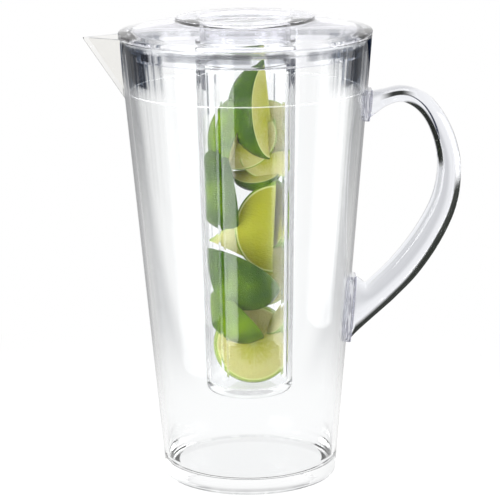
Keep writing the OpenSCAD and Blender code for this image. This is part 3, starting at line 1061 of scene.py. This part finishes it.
def slot_bar(s, angle):
    """A bmesh of a bar with round ends that cuts one slot."""
    low = s.bottom_z + s.slot_low + s.slot_w / 2
    high = s.top_z - s.slot_top - s.slot_w / 2
    bm = bmesh.new()
    verts = bmesh.ops.create_circle(bm, cap_ends=True, segments=32, radius=s.slot_w / 2)["verts"]
    bmesh.ops.rotate(bm, verts=verts, matrix=Matrix.Rotation(pi / 2, 3, "Y"))
    bmesh.ops.rotate(bm, verts=verts, matrix=Matrix.Rotation(pi / 32, 3, "X"))
    bmesh.ops.translate(bm, vec=(0, 0, low), verts=verts)
    upper = [v for v in verts if v.co.z > low]
    bmesh.ops.translate(bm, vec=(0, 0, high - low), verts=upper)
    pushed = bmesh.ops.extrude_face_region(bm, geom=bm.faces[:])["geom"]
    outer = [v for v in pushed if isinstance(v, bmesh.types.BMVert)]
    bmesh.ops.translate(bm, vec=(s.top_r + 2 * OVERRUN, 0, 0), verts=outer)
    inner = [v for v in bm.verts if v.co.x < SLOT_START_R]
    bmesh.ops.translate(bm, vec=(SLOT_START_R, 0, 0), verts=inner)
    bmesh.ops.rotate(bm, verts=bm.verts, matrix=Matrix.Rotation(angle, 3, "Z"))
    bmesh.ops.scale(bm, vec=(MM, MM, MM), verts=bm.verts)
    bmesh.ops.recalc_face_normals(bm, faces=bm.faces)
    return bm


class PITCHER_OT_tube(bpy.types.Operator):
    """Make the slotted infuser tube"""

    bl_idname = "pitcher.tube"
    bl_label = "Infuser tube"

    def execute(self, context):
        s = context.scene.infuser_tube
        floor_z = s.bottom_z + s.floor
        tube = new_object("slotted_tube", turned(rounded([
            (0, s.bottom_z), (s.bottom_r, s.bottom_z, s.edge), (s.top_r, s.top_z, 0.5),
            (s.top_r - s.wall, s.top_z, 0.5), (tube_r(s, floor_z) - s.wall, floor_z, s.edge - s.wall / 2),
            (0, floor_z),
        ], arc_steps=8)))
        for i in range(s.slots):
            carve(tube, slot_bar(s, s.phase + 2 * pi * i / s.slots))
        cones = [
            (s.bottom_z, s.bottom_r, s.top_z, s.top_r, 1),
            (s.bottom_z, s.bottom_r - s.wall, s.top_z, s.top_r - s.wall, -1),
        ]
        finish_piece(tube, "acrylic_tube", "infuser", ["infuser_tube"], cones)
        add_finish(tube, "acrylic_sawn", lambda face: self.in_slot(s, face))
        return {"FINISHED"}

    def in_slot(self, s, face):
        """Whether a face is a side of a slot."""
        centre = face.center / MM
        across = abs(face.normal.dot(centre.xy.to_3d().normalized()))
        off_middle = abs(centre.xy.length - tube_r(s, centre.z) + s.wall / 2)
        return off_middle < s.wall * 0.45 and across < 0.3 and centre.z > s.bottom_z + s.floor + 1


# Limes

def lime_wedge(span, low=-LIME_HALF, high=LIME_HALF):
    """A bmesh of a lengthwise cut of a lime, in millimetres, with its peel's middle towards +X."""
    steps = 30
    line = []
    for k in range(steps + 1):
        a = pi * (k / steps - 0.5)
        nub = max(0.0, (sin(a) - 0.985) / 0.015)
        line.append(Vector((cos(a) * LIME_R, 0, sin(a) * LIME_HALF + 2.6 * nub)))
    line[0].x = line[-1].x = 0
    bm = bmesh.new()
    full = span > 2 * pi - 0.01
    verts, edges = outline_edges(bm, line)
    if not full:
        edges.append(bm.edges.new((verts[0], verts[-1])))
        bmesh.ops.rotate(bm, verts=verts, matrix=Matrix.Rotation(-span / 2, 3, "Z"))
        bmesh.ops.edgeloop_fill(bm, edges=edges)
    geom = verts + edges if full else bm.faces[:]
    bmesh.ops.spin(
        bm, geom=geom, cent=(0, 0, 0), axis=(0, 0, 1), angle=span, steps=max(6, round(span * 9)), use_merge=full
    )
    bmesh.ops.remove_doubles(bm, verts=bm.verts, dist=1e-4)
    for z, up in ((low, -1), (high, 1)):
        if abs(z) < LIME_HALF:
            bmesh.ops.bisect_plane(
                bm, geom=bm.verts[:] + bm.edges[:] + bm.faces[:], plane_co=(0, 0, z), plane_no=(0, 0, up),
                clear_outer=True,
            )
            bmesh.ops.holes_fill(bm, edges=bm.edges, sides=0)
    if not full:
        bmesh.ops.holes_fill(bm, edges=bm.edges, sides=0)
    bmesh.ops.recalc_face_normals(bm, faces=bm.faces)
    cut_rim = [e for e in bm.edges if e.is_manifold and e.calc_face_angle() > radians(40)]
    bmesh.ops.bevel(bm, geom=cut_rim, offset=0.5, segments=2, affect="EDGES", profile=0.5, material=-1)
    place = bm.verts.layers.float_vector.new(FRUIT_PLACE)
    for v in bm.verts:
        v[place] = v.co
    return bm


# Each has its name, material, middle of the core (x, y, z), direction of the core, direction of the peel,
# span in degrees, scale, and the heights of a low and a high cut, where it has them.
LIME_CUTS = (
    ("lime_top", "lime_dark", (13.5, 2, 211), (-0.1, -0.05, 1), (-0.93, -0.37, 0), 85, 0.93, None, None),
    ("lime_back", "lime_pale", (12, 10, 200), (0.1, -0.95, 0.3), (0, 0, 1), 360, 0.6, -6, 4),
    ("lime_left_pale", "lime_mid", (0, 10, 195), (0.38, 0.1, 0.92), (-0.85, -0.5, 0.3), 85, 0.86, None, None),
    ("lime_chunk", "lime_light", (-2, -2, 196), (0.8, 0, 0.5), (0.2, 0.5, -0.75), 80, 0.66, None, None),
    ("lime_chunk_low", "lime_light", (12, -3, 187), (1, 0, 0.15), (0, 0.55, -0.8), 80, 0.54, None, None),
    ("lime_left_dark", "lime_dark", (-10.5, 6, 167), (-0.14, 0, 0.99), (-0.4, -0.9, 0), 70, 0.86, None, None),
    ("lime_sliver", "lime_dark", (5, 2, 178), (1, 0, 0.1), (0, -0.5, -0.85), 60, 0.5, None, None),
    ("lime_middle", "lime_ripe", (15, -6, 144.5), (0.05, 0, 1), (-0.77, 0.64, 0), 80, 0.86, None, None),
    ("lime_right", "lime_ripe", (13, 7, 150), (0.15, 0.1, 1), (0.95, -0.3, 0), 80, 0.66, None, None),
    ("lime_tip", "lime_pale", (-4, -5, 129), (-0.9, 0, 0.45), (0.37, 0.57, 0.74), 70, 0.62, None, None),
    ("lime_slant", "lime_dark", (-6, -2, 118.5), (-0.87, 0, 0.48), (0.1, -0.95, -0.2), 82, 0.88, None, None),
    ("lime_behind", "lime_pale", (10, 6, 117), (0.15, 0.1, 1), (0.75, 0.6, 0.2), 80, 0.66, None, None),
    ("lime_low", "lime_mid", (-5, -6, 96.5), (0.64, 0.1, -0.77), (-0.4, -0.85, -0.35), 95, 0.66, None, None),
    ("lime_small", "lime_light", (14, -4, 94), (0.5, -0.2, 0.8), (0.7, -0.5, -0.5), 50, 0.4, None, None),
    ("lime_bottom", "lime_pale", (2.2, 2, 75.5), (0.05, -0.97, 0.22), (0, 0, 1), 360, 0.88, -6, 10),
)


class PITCHER_OT_limes(bpy.types.Operator):
    """Make the cut limes that stand in the tube"""

    bl_idname = "pitcher.limes"
    bl_label = "Limes"

    clearance = 0.3

    def execute(self, context):
        s = context.scene.infuser_tube
        for name, finish, middle, core, peel, span, scale, low, high in LIME_CUTS:
            bm = lime_wedge(radians(span), low or -LIME_HALF, high or LIME_HALF)
            up = Vector(core).normalized()
            side = up.cross(Vector(peel)).normalized()
            turn_to = Matrix((side.cross(up), side, up)).transposed().to_4x4()
            bm.transform(Matrix.Translation(middle) @ turn_to @ Matrix.Scale(scale, 4))
            for v in bm.verts:
                v.co.z = max(v.co.z, s.bottom_z + s.floor + self.clearance)
                room = tube_r(s, v.co.z) - s.wall - self.clearance
                reach = v.co.xy.length
                if reach > room:
                    v.co.xy *= room / reach
            bmesh.ops.scale(bm, vec=(MM, MM, MM), verts=bm.verts)
            finish_piece(new_object(name, bm), finish, "infuser", sharp=50)
        return {"FINISHED"}


# Stage

CAMERA_EYE = (0, -1.309, 0.431)
CAMERA_RIGHT = (0.99991821, -0.00368224, -0.01224791)
CAMERA_UP = (0.01276114, 0.22356165, 0.97460625)
CAMERA_BACK = (-0.000850571, -0.974682835, 0.223590358)
CAMERA_LENS = 169.5


def eighths(t, x, y):
    """1 in each of eight level directions, and -1 halfway between them."""
    around = (x * x + y * y + 1e-9) ** 0.5
    cos_once = y / around
    cos_four = 8 * cos_once**4.0 - 8 * cos_once**2.0 + 1
    return 2 * cos_four * cos_four - 1


class PITCHER_OT_stage(bpy.types.Operator):
    """Make the floor, the backdrop, the lamps and the camera"""

    bl_idname = "pitcher.stage"
    bl_label = "Stage"

    # the studio's dark flags in the world, and the painted dark bands on the floor
    flag = (0.018, 0.028, 0.06)
    floor_r = 1.72
    # inner radius of the painted dark frame ring on the floor
    painted_frame_r = 1.38

    def execute(self, context):
        self.camera(context.scene)
        self.world(context.scene)
        self.floor()
        self.lamp("lamp_top", (0.0, 0.05, 1.0), (0.7, 0.7), 2.6)
        self.lamp("lamp_left", (-0.2, -0.2, 0.13), (0.17, 0.3), 0.95)
        self.lamp("lamp_right", (0.28, -0.03, 0.13), (0.2, 0.3), 0.7)
        return {"FINISHED"}

    def camera(self, scene):
        """The camera, at the photograph's place."""
        made = bpy.data.objects.new("camera", bpy.data.cameras.new("camera"))
        made.data.lens = CAMERA_LENS
        turn_to = Matrix((CAMERA_RIGHT, CAMERA_UP, CAMERA_BACK)).transposed()
        made.matrix_world = Matrix.Translation(CAMERA_EYE) @ turn_to.to_4x4()
        scene.collection.objects.link(made)
        scene.camera = made

    def seen_directly(self, t):
        """1 for a camera ray, and 0 for the others."""
        return t.node("ShaderNodeLightPath", output="Is Camera Ray")

    def world(self, scene):
        """White to the camera, and a studio of screens and flags to glass and gloss."""
        world = bpy.data.worlds.new("studio")
        scene.world = world
        t = Tree(world)
        x, y, z = t.parts(t.node("ShaderNodeTexCoord", output="Generated"))
        wave = eighths(t, x, y)
        low = z.between(-0.13, -0.1) * (1 - z.between(0.0, 0.06)) * (1 - wave.between(-0.2, 0.4)) * 0.7
        around = t.mix(low, (1, 1, 1), self.flag)
        colour_all = t.mix(self.seen_directly(t), around, (1, 1, 1))
        light = t.node("ShaderNodeBackground", {"Color": colour_all, "Strength": 1.0})
        t.node("ShaderNodeOutputWorld", {"Surface": light})

    def floor(self):
        """A round pale floor that keeps a faint shadow, and shows glass and gloss painted dark bands, frames,
        streaks and reflections.
        """
        t = Tree(bpy.data.materials.new("floor"))
        x, y, z = t.parts(t.place())
        wave = eighths(t, x, y)
        around = (x * x + y * y) ** 0.5
        streaks = t.noise(t.node("ShaderNodeCombineXYZ", {0: x / around, 1: y / around}), 9.0, 2.0)
        # painted dark streaks on the floor, seen only through glass and in gloss
        haze = streaks.between(0.4, 0.8) * around.between(0.1, 0.5) * 0.1
        # painted shade: darker bands between the eight level directions near the pitcher
        painted_dim_bands = (1 - wave.between(-0.4, 0.3)) * around.between(0.15, 0.4) * 0.28
        # painted dark frames: the ring past this radius turns dark but in the eight level directions
        frame = (1 - wave.between(0.4, 0.52)) * around.between(self.painted_frame_r, self.painted_frame_r + 0.02)
        seen = t.mix((haze + painted_dim_bands + frame).math("MINIMUM", 1.0), (1, 1, 1), self.flag)
        camera = self.seen_directly(t)
        path = t.node("ShaderNodeLightPath", output="Is Glossy Ray")
        # painted dark reflection: near the pitcher the floor turns darker for rays that have been reflected
        reflected = t.node("ShaderNodeLightPath", output="Glossy Depth").math("MINIMUM", 1.0)
        seen = t.mix(reflected * around.between(0.1, 0.3) * 0.25, seen, (0, 0, 0))
        glow = t.node("ShaderNodeEmission", {"Color": t.mix(camera, seen, (1, 1, 1)), "Strength": 1.0})
        paper = t.node("ShaderNodeBsdfPrincipled", {"Base Color": (0.85, 0.85, 0.85), "Roughness": 0.8})
        through = t.node("ShaderNodeLightPath", output="Is Transmission Ray")
        bare = (camera * (around.between(0.15, 0.35) * 0.2 + 0.8) + path + through).math("MINIMUM", 1.0)
        t.node("ShaderNodeOutputMaterial", {"Surface": t.mix_shader(bare, paper, glow)})
        bm = bmesh.new()
        bmesh.ops.create_circle(bm, cap_ends=True, segments=128, radius=self.floor_r)
        bmesh.ops.translate(bm, vec=(0, 0, -0.2 * MM), verts=bm.verts)
        floor = new_object("floor", bm)
        floor.data.materials.append(bpy.data.materials["floor"])

    def lamp(self, name, place, shape, watts):
        """A soft lamp that faces the pitcher."""
        data = bpy.data.lights.new(name, "AREA")
        data.shape = "RECTANGLE"
        data.size, data.size_y = shape
        data.energy = watts
        made = bpy.data.objects.new(name, data)
        made.location = place
        made.rotation_euler = (Vector(place) - Vector((0, 0, 0.13))).to_track_quat("Z", "Y").to_euler()
        made.visible_camera = False
        bpy.context.scene.collection.objects.link(made)


class PITCHER_PT_panel(bpy.types.Panel):
    """Lists the pieces, with their sizes and colours"""

    bl_label = "Infuser pitcher"
    bl_idname = "PITCHER_PT_panel"
    bl_space_type = "VIEW_3D"
    bl_region_type = "UI"
    bl_category = "Pitcher"

    def draw(self, context):
        for operator in OPERATORS:
            self.layout.operator(operator.bl_idname)
        for group in GROUPS:
            sizes = getattr(context.scene, group)
            for name in sizes.bl_rna.properties.keys():
                if name not in {"rna_type", "name"}:
                    self.layout.prop(sizes, name)


OPERATORS = (
    PITCHER_OT_finishes, PITCHER_OT_body, PITCHER_OT_handle, PITCHER_OT_drink, PITCHER_OT_lid,
    PITCHER_OT_seals, PITCHER_OT_tube, PITCHER_OT_limes, PITCHER_OT_stage,
)
GROUPS = {
    "infuser_pitcher": PitcherSizes,
    "infuser_lid": LidSizes,
    "infuser_tube": InfuserSizes,
    "infuser_finishes": Finishes,
}


def register():
    for made in (*GROUPS.values(), *OPERATORS, PITCHER_PT_panel):
        bpy.utils.register_class(made)
    for name, group in GROUPS.items():
        setattr(bpy.types.Scene, name, PointerProperty(type=group))


def unregister():
    for name in GROUPS:
        delattr(bpy.types.Scene, name)
    for made in (PITCHER_PT_panel, *reversed(OPERATORS), *reversed(GROUPS.values())):
        bpy.utils.unregister_class(made)


def main():
    register()
    bpy.context.scene.view_settings.view_transform = "Standard"
    for operator in OPERATORS:
        group, name = operator.bl_idname.split(".")
        getattr(getattr(bpy.ops, group), name)()


if __name__ == "__main__":
    main()
